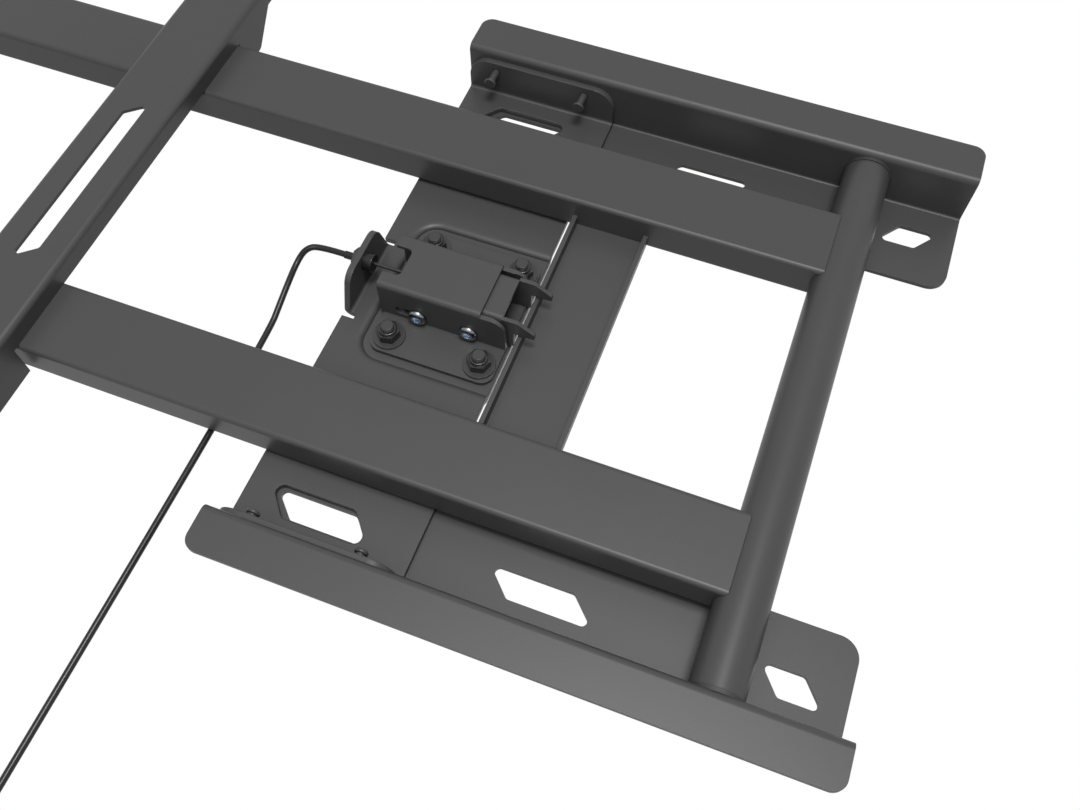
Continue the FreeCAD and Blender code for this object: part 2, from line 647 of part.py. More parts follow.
def slide_sheet():
    """The slide's bent sheet, with a hook on each cheek."""
    half = HOUSING_SHEET / 2.0
    corners = [
        vec(SLIDE_WEB_LEFT, -SLIDE_FOOT, -SLIDE_HALF + half),
        vec(SLIDE_WEB_LEFT, -SLIDE_FRONT + half, -SLIDE_HALF + half),
        vec(SLIDE_WEB_LEFT, -SLIDE_FRONT + half, SLIDE_HALF - half),
        vec(SLIDE_WEB_LEFT, -SLIDE_FOOT, SLIDE_HALF - half),
    ]
    solid = bent_outline(corners, HOUSING_SHEET, LATCH_BEND, ALONG)
    solid = solid.extrude(ALONG * (SLIDE_WEB_RIGHT - SLIDE_WEB_LEFT))
    bend = HOUSING_SHEET + LATCH_BEND
    past_web = box(SLIDE_WEB_RIGHT, HOOK_TIP + 1, -SLIDE_FRONT - 1, 0, -SLIDE_HALF - 1, SLIDE_HALF + 1)
    below_bend = box(SLIDE_WEB_LEFT, HOOK_TIP + 1, -SLIDE_FRONT + bend, 0, -SLIDE_HALF - 1, SLIDE_HALF + 1)
    keep = past_web.fuse(below_bend)
    for z_low in (-SLIDE_HALF, SLIDE_HALF - HOUSING_SHEET):
        solid = solid.fuse(hook_cheek(z_low).common(keep))
    return solid


def bend_wire_lug(solid):
    """Lug folded out of the slide's web, where the inner wire hooks in."""
    half = HOUSING_SHEET / 2.0
    bend = HOUSING_SHEET + LATCH_BEND
    lug = bent_outline([
        vec(SLIDE_WEB_LEFT + 2 * bend, -SLIDE_FRONT + half, -LUG_HALF),
        vec(SLIDE_WEB_LEFT + half, -SLIDE_FRONT + half, -LUG_HALF),
        vec(SLIDE_WEB_LEFT + half, -SLIDE_FRONT + LUG_REACH, -LUG_HALF),
    ], HOUSING_SHEET, LATCH_BEND, UP).extrude(UP * (2 * LUG_HALF))
    window = box(SLIDE_WEB_LEFT - 1, SLIDE_WEB_LEFT + 2 * bend,
                 -SLIDE_FRONT - 1, -SLIDE_FRONT + HOUSING_SHEET + 0.5,
                 -LUG_HALF - 1.5, LUG_HALF + 1.5)
    return solid.cut(window).fuse(lug)


def latch_bolt():
    """Sliding inner channel with two hooks and a lug for the wire."""
    solid = bend_wire_lug(slide_sheet())
    wire_hole = drum(WIRE_DIAMETER + 2 * HOLE_PLAY, 4 * HOUSING_SHEET,
                     vec(SLIDE_WEB_LEFT - HOUSING_SHEET, -CABLE_DEPTH, 0), ALONG)
    solid = solid.cut(wire_hole)
    solid = solid.cut(cross_slot(HOUSING_SCREW_X, HOUSING_SCREW_X + SLIDE_TRAVEL, -SLIDE_HALF - 1,
                                 SLIDE_HALF + 1))
    hole = drum(CROSS_SCREW_DIAMETER + 2 * HOLE_PLAY, 4 * SLIDE_HALF,
                vec(SLIDE_SCREW_X, -CROSS_SCREW_DEPTH, -2 * SLIDE_HALF), UP)
    return solid.cut(hole).removeSplitter()


def cross_screw(x, gap):
    """Button-head screw across the latch, head below, with a six-sided socket."""
    head_base = vec(x, -CROSS_SCREW_DEPTH, -HOUSING_HALF - gap)
    head = drum(CROSS_SCREW_HEAD, CROSS_SCREW_HEAD_THICK, head_base, UP * -1)
    rim = head_base.z - CROSS_SCREW_HEAD_THICK
    head = round_edges(head, CROSS_SCREW_HEAD_THICK * 0.8,
                       lambda edge: len(edge.Vertexes) == 1 and edge.BoundBox.ZMax < rim + 0.1)
    socket = hexagon(CROSS_SCREW_SOCKET, CROSS_SCREW_HEAD_THICK * 0.75,
                     head_base - UP * CROSS_SCREW_HEAD_THICK, UP)
    shank = drum(CROSS_SCREW_DIAMETER, 2 * HOUSING_HALF + 2 * gap + CROSS_NUT_HEIGHT + 1, head_base, UP)
    return head.cut(socket).fuse(shank).removeSplitter()


def cross_nut(x, gap):
    base = vec(x, -CROSS_SCREW_DEPTH, HOUSING_HALF + gap)
    body = chamfered_hex(CROSS_NUT_FLATS, CROSS_NUT_HEIGHT, base, UP)
    return body.cut(drum(CROSS_SCREW_DIAMETER + 0.1, 4 * CROSS_NUT_HEIGHT, base - UP * CROSS_NUT_HEIGHT,
                         UP))


def tube_along(points, diameter):
    """Round bar through the points, with tangent arcs at the inner ones, and its radii."""
    edges = []
    radii = []
    start = points[0]
    for place in range(1, len(points) - 1):
        before = points[place] - points[place - 1]
        after = points[place + 1] - points[place]
        turn = before.getAngle(after)
        shorter = min(before.Length, after.Length)
        reach = 0.45 * shorter
        radii.append(round(reach / math.tan(turn / 2.0), 1))
        before.normalize()
        after.normalize()
        touch = points[place] - before * reach
        leave = points[place] + after * reach
        inward = (after - before).normalize()
        radius = reach / math.tan(turn / 2.0)
        centre = points[place] + inward * (radius / math.cos(turn / 2.0))
        middle = centre - inward * radius
        edges.append(Part.makeLine(start, touch))
        edges.append(Part.Arc(touch, middle, leave).toShape())
        start = leave
    edges.append(Part.makeLine(start, points[-1]))
    route = Part.Wire(edges)
    circle = Part.Wire(Part.makeCircle(diameter / 2.0, points[0], points[1] - points[0]))
    solid = route.makePipeShell([circle], True, False)
    print("length", round(route.Length, 1), "radii", radii,
          "volume ratio", round(solid.Volume / (route.Length * math.pi * diameter ** 2 / 4.0), 4))
    return solid


def latch_spring():
    """Tension spring between the two cross screws, with an eye round each."""
    eye = CROSS_SCREW_DIAMETER / 2.0 + SPRING_EYE_PLAY + SPRING_WIRE / 2.0
    left = SLIDE_SCREW_X + eye + SPRING_WIRE
    right = HOUSING_SCREW_X - eye - SPRING_WIRE
    pitch = (right - left) / SPRING_TURNS
    helix = Part.makeHelix(pitch, right - left, SPRING_RADIUS)
    helix.rotate(vec(0, 0, 0), vec(0, 1, 0), 90)
    helix.translate(vec(left, -CROSS_SCREW_DEPTH, 0))
    start = helix.Vertexes[0].Point
    profile = Part.Wire(Part.makeCircle(SPRING_WIRE / 2.0, start,
                                        helix.Edges[0].tangentAt(helix.Edges[0].FirstParameter)))
    coil = Part.Wire(helix.Edges).makePipeShell([profile], True, True)
    solid = coil
    for centre_x, coil_x in ((SLIDE_SCREW_X, left), (HOUSING_SCREW_X, right)):
        ring = Part.makeTorus(eye, SPRING_WIRE / 2.0, vec(centre_x, -CROSS_SCREW_DEPTH, 0), UP)
        solid = solid.fuse(ring)
        side = 1 if coil_x > centre_x else -1
        end = start if side > 0 else helix.Vertexes[-1].Point
        stem_start = vec(centre_x + side * eye, -CROSS_SCREW_DEPTH, 0)
        stem = Part.makeCylinder(SPRING_WIRE / 2.0, (end - stem_start).Length, stem_start, end - stem_start)
        knuckle = Part.makeSphere(SPRING_WIRE * SPRING_KNUCKLE, end)
        solid = solid.fuse(stem.fuse(knuckle))
    return solid


def release_wire():
    """Inner wire from the slide's lug into the bush, with room for its travel."""
    start = FERRULE_LEFT + 1.5 + SLIDE_TRAVEL
    length = SLIDE_WEB_LEFT + HOUSING_SHEET + NIPPLE_LENGTH - start
    return drum(WIRE_DIAMETER, length, vec(start, -CABLE_DEPTH, 0), ALONG)


def wire_nipple():
    x = SLIDE_WEB_LEFT + HOUSING_SHEET
    ring = drum(NIPPLE_DIAMETER, NIPPLE_LENGTH, vec(x, -CABLE_DEPTH, 0), ALONG)
    return ring.cut(drum(WIRE_DIAMETER, 3 * NIPPLE_LENGTH, vec(x - NIPPLE_LENGTH, -CABLE_DEPTH, 0), ALONG))


def wire_bore(x, length):
    return drum(WIRE_DIAMETER + 2 * WIRE_PLAY, length, vec(x, -CABLE_DEPTH, 0), ALONG)


def cable_bush():
    """Barrel through the cable tab: boss on the latch side, thread on the other."""
    boss_left = PLATE_LEFT + PLATE_SHEET
    boss = drum(BUSH_BOSS, BUSH_BOSS_LENGTH, vec(boss_left, -CABLE_DEPTH, 0), ALONG)
    far = boss_left + BUSH_BOSS_LENGTH
    boss = round_edges(boss, 0.8, lambda edge: len(edge.Vertexes) == 1 and edge.BoundBox.XMin > far - 0.1)
    neck = drum(BUSH_NECK, BUSH_BOSS_LENGTH + boss_left - BUSH_LEFT - 1, vec(BUSH_LEFT, -CABLE_DEPTH, 0),
                ALONG)
    return boss.fuse(neck).cut(wire_bore(BUSH_LEFT - 1, 4 * BUSH_BOSS_LENGTH)).removeSplitter()


def cable_bush_nut():
    base = vec(PLATE_LEFT, -CABLE_DEPTH, 0)
    body = chamfered_hex(BUSH_NUT_FLATS, BUSH_NUT_HEIGHT, base, ALONG * -1)
    return body.cut(drum(BUSH_NECK + 0.1, 3 * BUSH_NUT_HEIGHT, base + ALONG * BUSH_NUT_HEIGHT, ALONG * -1))


def sheath_ferrule():
    body = drum(FERRULE_DIAMETER, FERRULE_LENGTH, vec(FERRULE_LEFT, -CABLE_DEPTH, 0), ALONG)
    return body.cut(wire_bore(FERRULE_LEFT + 1, FERRULE_LENGTH))


def sheath_points():
    """Route of the sheath: out of the ferrule, over and down behind the lower tube."""
    run = CORD_FIRST_RUN
    third = math.radians(30.0)
    first = vec(FERRULE_LEFT - run, -CABLE_DEPTH, 0)
    second = first + vec(-run * math.cos(third), 0, -run * math.sin(third))
    third_point = second + vec(-run * math.sin(third), 2.0, -run * math.cos(third))
    return [
        vec(FERRULE_LEFT, -CABLE_DEPTH, 0),
        first,
        second,
        third_point,
        vec(CORD_X, -CORD_DEPTH_LOW - 13.0, CORD_SETTLED * 0.52),
        vec(CORD_SETTLED_X, -CORD_DEPTH_LOW, CORD_SETTLED),
        vec(CORD_X, -CORD_DEPTH_LOW, CORD_END),
    ]


def end_ferrule():
    base = vec(CORD_X, -CORD_DEPTH_LOW, CORD_END)
    body = drum(FERRULE_DIAMETER, END_FERRULE_LENGTH, base, UP * -1)
    bore = drum(WIRE_DIAMETER + 2 * WIRE_PLAY, END_FERRULE_LENGTH, base - UP * 1.0, UP * -1)
    return body.cut(bore)


def pull_wire():
    top = CORD_END - 2.0
    return drum(WIRE_DIAMETER, top - RING_TOP, vec(CORD_X, -CORD_DEPTH_LOW, RING_TOP), UP)


def pull_ring():
    """Flat finger ring that hangs close to the wall."""
    centre_z = RING_TOP - RING_HEIGHT + RING_HALF_WIDTH
    y_low = -CORD_DEPTH_LOW - RING_THICK / 2.0
    round_part = Part.makeCylinder(RING_HALF_WIDTH, RING_THICK, vec(CORD_X, y_low, centre_z), OUT * -1)
    neck = polygon_face([
        vec(CORD_X - RING_HALF_WIDTH * 0.94, y_low, centre_z + RING_HALF_WIDTH * 0.34),
        vec(CORD_X + RING_HALF_WIDTH * 0.94, y_low, centre_z + RING_HALF_WIDTH * 0.34),
        vec(CORD_X + RING_THICK, y_low, RING_TOP),
        vec(CORD_X - RING_THICK, y_low, RING_TOP),
    ]).extrude(OUT * -RING_THICK)
    solid = round_part.fuse(neck).removeSplitter()
    solid = solid.cut(Part.makeCylinder(RING_HOLE_RADIUS, 3 * RING_THICK,
                                        vec(CORD_X, y_low - RING_THICK, centre_z), OUT * -1))
    return solid.makeFillet(RING_EDGE_ROUND,
                            [edge for edge in solid.Edges if abs(edge.BoundBox.YMax - edge.BoundBox.YMin) < 1e-4])


def frame_tube(sign):
    """Rectangular tube, its right end saddled to the column."""
    low = TUBE_INNER_HALF if sign > 0 else -TUBE_OUTER_HALF
    outer = box(TUBE_LEFT, TUBE_RIGHT, -TUBE_FRONT, -TUBE_BACK, low, low + TUBE_HEIGHT)
    outer = round_edges(outer, TUBE_CORNER, lambda edge: straight_along(edge, ALONG))
    inner = box(TUBE_LEFT - 1, TUBE_RIGHT + 1, -TUBE_FRONT + TUBE_WALL, -TUBE_BACK - TUBE_WALL,
                low + TUBE_WALL, low + TUBE_HEIGHT - TUBE_WALL)
    inner = round_edges(inner, TUBE_CORNER - TUBE_WALL, lambda edge: straight_along(edge, ALONG))
    saddle = drum(COLUMN_DIAMETER + 0.1, 4 * TUBE_HEIGHT, vec(COLUMN_X, -COLUMN_DEPTH, low - TUBE_HEIGHT),
                  UP)
    return outer.cut(inner).cut(saddle)


def tube_cap(sign):
    """Plastic plug in the tube's open left end."""
    low = TUBE_INNER_HALF if sign > 0 else -TUBE_OUTER_HALF
    plate = box(TUBE_LEFT - CAP_PLATE, TUBE_LEFT, -TUBE_FRONT, -TUBE_BACK, low, low + TUBE_HEIGHT)
    plate = round_edges(plate, TUBE_CORNER, lambda edge: straight_along(edge, ALONG))
    plate = round_edges(plate, 1.2, lambda edge: edge.BoundBox.XMax < TUBE_LEFT - CAP_PLATE + 0.01)
    inset = TUBE_WALL + CAP_INSERT_GAP
    insert = box(TUBE_LEFT - 0.5, TUBE_LEFT + CAP_INSERT, -TUBE_FRONT + inset, -TUBE_BACK - inset,
                 low + inset, low + TUBE_HEIGHT - inset)
    hollow = box(TUBE_LEFT + 1, TUBE_LEFT + CAP_INSERT + 1, -TUBE_FRONT + 2 * inset, -TUBE_BACK - 2 * inset,
                 low + 2 * inset, low + TUBE_HEIGHT - 2 * inset)
    insert = round_edges(insert, 1.0, lambda edge: straight_along(edge, ALONG))
    return plate.fuse(insert.cut(hollow)).removeSplitter()


def strike_channel():
    """Upright channel between the tubes that the hooks catch."""
    half = STRIKE_SHEET / 2.0
    left = STRIKE_LEFT + half
    right = STRIKE_LEFT + STRIKE_WIDTH - half
    front = -TUBE_BACK - STRIKE_DEPTH
    back = -TUBE_BACK - half
    corners = [
        vec(left, front, -TUBE_INNER_HALF),
        vec(left, back, -TUBE_INNER_HALF),
        vec(right, back, -TUBE_INNER_HALF),
        vec(right, front, -TUBE_INNER_HALF),
    ]
    return bent_outline(corners, STRIKE_SHEET, 1.0, UP).extrude(UP * (2 * TUBE_INNER_HALF))


def hinge_column():
    axis = vec(COLUMN_X, -COLUMN_DEPTH, -COLUMN_HALF)
    outer = drum(COLUMN_DIAMETER, 2 * COLUMN_HALF, axis, UP)
    inner = drum(COLUMN_DIAMETER - 2 * COLUMN_WALL, 2 * COLUMN_HALF + 2, axis - UP, UP)
    return outer.cut(inner)


def hinge_plug(sign):
    """Plug in the column's end that turns on the pivot bolt."""
    end = vec(COLUMN_X, -COLUMN_DEPTH, sign * COLUMN_HALF)
    body = drum(COLUMN_DIAMETER - 2 * COLUMN_WALL, PLUG_LENGTH, end, UP * -sign)
    return body.cut(drum(PIVOT_DIAMETER + 2 * PIVOT_PLAY, 3 * PLUG_LENGTH, end + UP * (sign * PLUG_LENGTH),
                         UP * -sign))


def hinge_washer(sign):
    base = vec(COLUMN_X, -COLUMN_DEPTH, sign * COLUMN_HALF)
    ring = drum(HINGE_WASHER_DIAMETER, HINGE_WASHER_THICK, base, UP * sign)
    return ring.cut(drum(PIVOT_DIAMETER + 2 * HOLE_PLAY, 6 * HINGE_WASHER_THICK,
                         base - UP * (sign * HINGE_WASHER_THICK), UP * sign))


def pivot_bolt(sign):
    """Bolt screwed through the weld nut, its plain end the hinge pin."""
    web = INNER_HALF + PROFILE_SHEET
    head_base = vec(COLUMN_X, -COLUMN_DEPTH, sign * (web + WELD_NUT_HEIGHT))
    head = chamfered_hex(PIVOT_FLATS, PIVOT_HEAD_HEIGHT, head_base, UP * sign)
    reach = web + WELD_NUT_HEIGHT - COLUMN_HALF + PIVOT_ENGAGED
    return head.fuse(drum(PIVOT_DIAMETER, reach, head_base, UP * -sign)).removeSplitter()


def weld_nut(sign):
    base = vec(COLUMN_X, -COLUMN_DEPTH, sign * (INNER_HALF + PROFILE_SHEET))
    body = hexagon(PIVOT_FLATS + 1.0, WELD_NUT_HEIGHT, base, UP * sign)
    return body.cut(drum(PIVOT_DIAMETER + 0.1, 3 * WELD_NUT_HEIGHT, base - UP * (sign * WELD_NUT_HEIGHT),
                         UP * sign))


def rail_cheek_outline(x):
    """Side of a rail: shallow over the tubes, deep ears above and below them."""
    deep = -TUBE_FRONT + EAR_REACH
    return polygon_face([
        vec(x, -RAIL_FRONT, -RAIL_HALF_LENGTH),
        vec(x, -RAIL_FRONT, RAIL_HALF_LENGTH),
        vec(x, -TUBE_FRONT, RAIL_HALF_LENGTH),
        vec(x, -TUBE_FRONT, EAR_UPPER_TOP),
        vec(x, deep, EAR_UPPER_TOP - EAR_REACH),
        vec(x, deep, TUBE_OUTER_HALF),
        vec(x, -TUBE_FRONT, TUBE_OUTER_HALF),
        vec(x, -TUBE_FRONT, -TUBE_OUTER_HALF - EAR_LOWER_GAP),
        vec(x, deep, -TUBE_OUTER_HALF - EAR_LOWER_GAP),
        vec(x, deep, EAR_LOWER_BOTTOM + EAR_REACH),
        vec(x, -TUBE_FRONT, EAR_LOWER_BOTTOM),
        vec(x, -TUBE_FRONT, -RAIL_HALF_LENGTH),
    ])


def screen_rail(centre):
    """Folded channel that hooks over both tubes and carries the screen."""
    half = RAIL_SHEET / 2.0
    left = centre - RAIL_WIDTH / 2.0
    right = centre + RAIL_WIDTH / 2.0
    deep = -TUBE_FRONT + EAR_REACH
    corners = [
        vec(left + half, deep, -RAIL_HALF_LENGTH),
        vec(left + half, -RAIL_FRONT + half, -RAIL_HALF_LENGTH),
        vec(right - half, -RAIL_FRONT + half, -RAIL_HALF_LENGTH),
        vec(right - half, deep, -RAIL_HALF_LENGTH),
    ]
    solid = bent_outline(corners, RAIL_SHEET, 1.5, UP).extrude(UP * (2 * RAIL_HALF_LENGTH))
    side = rail_cheek_outline(left - 1).extrude(ALONG * (RAIL_WIDTH + 2))
    side = round_edges(side, RAIL_END_CORNER, lambda edge: straight_along(edge, ALONG)
                       and abs(edge.BoundBox.YMin - deep) < 0.1
                           and abs(edge.BoundBox.ZMin) > TUBE_OUTER_HALF + 2 * RAIL_END_CORNER)
    solid = solid.common(side)
    for z in (-SCREEN_HOLE_HALF, SCREEN_HOLE_HALF):
        solid = solid.cut(drum(SCREEN_HOLE, 3 * RAIL_SHEET, vec(centre, -RAIL_FRONT + 2 * RAIL_SHEET, z),
                               OUT))
    solid = solid.cut(rail_slot(centre))
    for x in (left - 1, right - RAIL_SHEET - 1):
        solid = solid.cut(drum(LOCK_SCREW_DIAMETER + 2 * HOLE_PLAY, RAIL_SHEET + 2,
                               vec(x, -LOCK_SCREW_FRONT, LOCK_SCREW_HEIGHT), ALONG))
    return solid


def rail_slot(centre):
    """Long screen slot with ends cut on the slant."""
    half = RAIL_SLOT_WIDTH / 2.0
    rise = RAIL_SLOT_SLANT / 2.0
    low = RAIL_SLOT_CENTRE - RAIL_SLOT_LENGTH / 2.0
    high = RAIL_SLOT_CENTRE + RAIL_SLOT_LENGTH / 2.0
    y = -RAIL_FRONT - 1
    face = polygon_face([vec(centre - half, y, low - rise), vec(centre + half, y, low + rise),
                         vec(centre + half, y, high + rise), vec(centre - half, y, high - rise)])
    solid = face.extrude(OUT * -(RAIL_SHEET + 2))
    return round_edges(solid, RAIL_SLOT_CORNER, lambda edge: straight_along(edge, OUT))


def lock_screw(centre):
    """Screw across the lower ears, under the tube, so that the rail can't lift off."""
    base = vec(centre + RAIL_WIDTH / 2.0, -LOCK_SCREW_FRONT, LOCK_SCREW_HEIGHT)
    head = drum(LOCK_HEAD, LOCK_HEAD_THICK, base, ALONG)
    far = base.x + LOCK_HEAD_THICK
    head = round_edges(head, 1.5, lambda edge: len(edge.Vertexes) == 1 and edge.BoundBox.XMin > far - 0.1)
    head = head.cut(hexagon(CROSS_SCREW_SOCKET, LOCK_HEAD_THICK * 0.6, base + ALONG * LOCK_HEAD_THICK,
                            ALONG * -1))
    shank = drum(LOCK_SCREW_DIAMETER, RAIL_WIDTH + CROSS_NUT_HEIGHT + 1, base, ALONG * -1)
    return head.fuse(shank).removeSplitter()


def lock_screw_nut(centre):
    base = vec(centre - RAIL_WIDTH / 2.0, -LOCK_SCREW_FRONT, LOCK_SCREW_HEIGHT)
    body = chamfered_hex(CROSS_NUT_FLATS, CROSS_NUT_HEIGHT, base, ALONG * -1)
    return body.cut(drum(LOCK_SCREW_DIAMETER + 0.1, 3 * CROSS_NUT_HEIGHT, base + ALONG * CROSS_NUT_HEIGHT,
                         ALONG * -1))


def build():
    save("wall_rail_top", wall_profile(1))
    save("wall_rail_bottom", wall_profile(-1))
    save("latch_plate", latch_plate())
    save("tab_rivets", tab_rivets())
    save("latch_base", latch_base())
    save("latch_studs", at_studs(stud))
    save("latch_washers", at_studs(washer))
    save("latch_nuts", at_studs(lock_nut))
    save("latch_housing", latch_housing())
    save("latch_bolt", latch_bolt())
    save("slide_cross_screw", cross_screw(SLIDE_SCREW_X, CROSS_SLOT_PLAY))
    save("slide_cross_nut", cross_nut(SLIDE_SCREW_X, CROSS_SLOT_PLAY))
    save("housing_cross_screw", cross_screw(HOUSING_SCREW_X, 0.0))
    save("housing_cross_nut", cross_nut(HOUSING_SCREW_X, 0.0))
    save("latch_spring", latch_spring())
    save("release_wire", release_wire())
    save("wire_nipple", wire_nipple())
    save("cable_bush", cable_bush())
    save("cable_bush_nut", cable_bush_nut())
    save("sheath_ferrule", sheath_ferrule())
    save("cable_sheath", tube_along(sheath_points(), SHEATH_DIAMETER))
    save("sheath_end_ferrule", end_ferrule())
    save("pull_wire", pull_wire())
    save("pull_ring", pull_ring())
    save("hinge_column", hinge_column())
    save("hinge_plugs", [hinge_plug(-1), hinge_plug(1)])
    save("hinge_washers", [hinge_washer(-1), hinge_washer(1)])
    save("pivot_bolts", [pivot_bolt(-1), pivot_bolt(1)])
    save("pivot_weld_nuts", [weld_nut(-1), weld_nut(1)])
    save("frame_tube_top", frame_tube(1))
    save("frame_tube_bottom", frame_tube(-1))
    save("tube_end_caps", [tube_cap(-1), tube_cap(1)])
    save("strike_channel", strike_channel())
    for name, centre in (("right", RAIL_RIGHT_CENTRE), ("left", RAIL_RIGHT_CENTRE - RAIL_SPACING)):
        save("screen_rail_" + name, screen_rail(centre))
        save("rail_lock_screw_" + name, lock_screw(centre))
        save("rail_lock_nut_" + name, lock_screw_nut(centre))


build()
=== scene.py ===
import logging
import math
from dataclasses import dataclass, field
from enum import Enum
from typing import Any, Iterable

import bmesh
import bpy
from mathutils import Matrix, Vector


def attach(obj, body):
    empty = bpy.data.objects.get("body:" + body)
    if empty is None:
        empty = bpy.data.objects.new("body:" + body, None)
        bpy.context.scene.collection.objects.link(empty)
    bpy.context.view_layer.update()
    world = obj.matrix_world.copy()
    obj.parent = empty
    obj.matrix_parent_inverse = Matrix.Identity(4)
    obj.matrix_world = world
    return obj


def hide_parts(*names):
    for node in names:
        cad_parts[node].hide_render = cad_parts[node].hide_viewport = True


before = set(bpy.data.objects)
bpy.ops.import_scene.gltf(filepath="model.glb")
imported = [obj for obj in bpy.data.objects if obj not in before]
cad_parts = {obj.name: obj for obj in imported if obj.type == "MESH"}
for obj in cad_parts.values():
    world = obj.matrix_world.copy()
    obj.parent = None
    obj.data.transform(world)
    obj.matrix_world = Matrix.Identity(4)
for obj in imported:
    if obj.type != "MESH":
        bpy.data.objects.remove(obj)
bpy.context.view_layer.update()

LOG = logging.getLogger("swivel_mount")
Colour = tuple[float, float, float]
Point = tuple[float, float, float]
SAME_PLACE = 1e-6
SAME_PLANE = 1e-7


class Slot(Enum):
    """Finishes by name: the record's material slots, then some that only the scene has."""

    COAT = "powder_coat"
    DARK = "dark_fastener"
    ZINC = "zinc"
    WIRE = "steel_wire"
    WASHER = "hinge_polymer"
    PLASTIC = "black_plastic"
    SHEATH = "sheath_plastic"
    PRESSED = "pressed_powder_coat"
    # Zinc screw heads with a painted highlight in the socket.
    SOCKET = "zinc_with_painted_socket_highlight"
    NUT = "oiled_black_nut"


class Body(Enum):
    """CAD bodies that pieces of the scene ride on."""

    WALL_SIDE = "wall_side"
    SWING_FRAME = "swing_frame"
    LATCH_SLIDER = "latch_slider"


class Field:
    """One output socket, with arithmetic that adds Math nodes."""

    def __init__(self, tree: "NodeSheet", node: bpy.types.Node, output: Any = 0) -> None:
        """Wraps a socket.

        Args:
            tree: The sheet that the node stands on.
            node: The node that gives the value.
            output: Name or index of its output socket.
        """
        self.tree = tree
        self.owner = node
        self.socket = node.outputs[output]

    def out(self, output: Any) -> "Field":
        """Another output of the same node."""
        return Field(self.tree, self.owner, output)

    def _maths(self, operation: str, first: Any, second: Any) -> "Field":
        """Adds one Math node.

        Args:
            operation: The node's operation.
            first: Left operand, a Field or a number.
            second: Right operand, a Field or a number.

        Returns:
            The result's socket.
        """
        return self.tree.add("ShaderNodeMath", {"operation": operation}, {0: first, 1: second})

    def absolute(self) -> "Field":
        """Value without its sign."""
        return self.tree.add("ShaderNodeMath", {"operation": "ABSOLUTE"}, {0: self})

    def __add__(self, other: Any) -> "Field":
        """Sum."""
        return self._maths("ADD", self, other)

    def __sub__(self, other: Any) -> "Field":
        """Difference."""
        return self._maths("SUBTRACT", self, other)

    def __rsub__(self, other: Any) -> "Field":
        """Difference, with the number on the left."""
        return self._maths("SUBTRACT", other, self)

    def __mul__(self, other: Any) -> "Field":
        """Product."""
        return self._maths("MULTIPLY", self, other)


class NodeSheet:
    """A node tree with one method that adds any node."""

    def __init__(self, tree: bpy.types.NodeTree) -> None:
        """Takes an existing tree and empties it."""
        self.tree = tree
        tree.nodes.clear()

    def add(self, kind: str, settings: dict[str, Any] | None = None,
            inputs: dict[Any, Any] | None = None) -> Field:
        """Adds a node.

        Args:
            kind: The node's type name.
            settings: Properties set before the sockets; "stops" gives a ramp's (place, grey) pairs.
            inputs: Socket name or index to a Field or a constant.

        Returns:
            The node's first output.
        """
        node = self.tree.nodes.new(kind)
        for key, value in (settings or {}).items():
            if key == "stops":
                self._set_stops(node, value)
            else:
                setattr(node, key, value)
        for key, value in (inputs or {}).items():
            if isinstance(value, Field):
                self.tree.links.new(value.socket, node.inputs[key])
            else:
                node.inputs[key].default_value = value
        return Field(self, node) if node.outputs else None

    @staticmethod
    def _set_stops(node: bpy.types.Node, stops: Iterable[tuple[float, float]]) -> None:
        """Sets a colour ramp's stops.

        Args:
            node: The ramp's node.
            stops: Pairs of place and grey.
        """
        elements = node.color_ramp.elements
        for index, (place, grey) in enumerate(stops):
            element = elements[index] if index < 2 else elements.new(place)
            element.position = place
            element.color = (grey, grey, grey, 1.0)


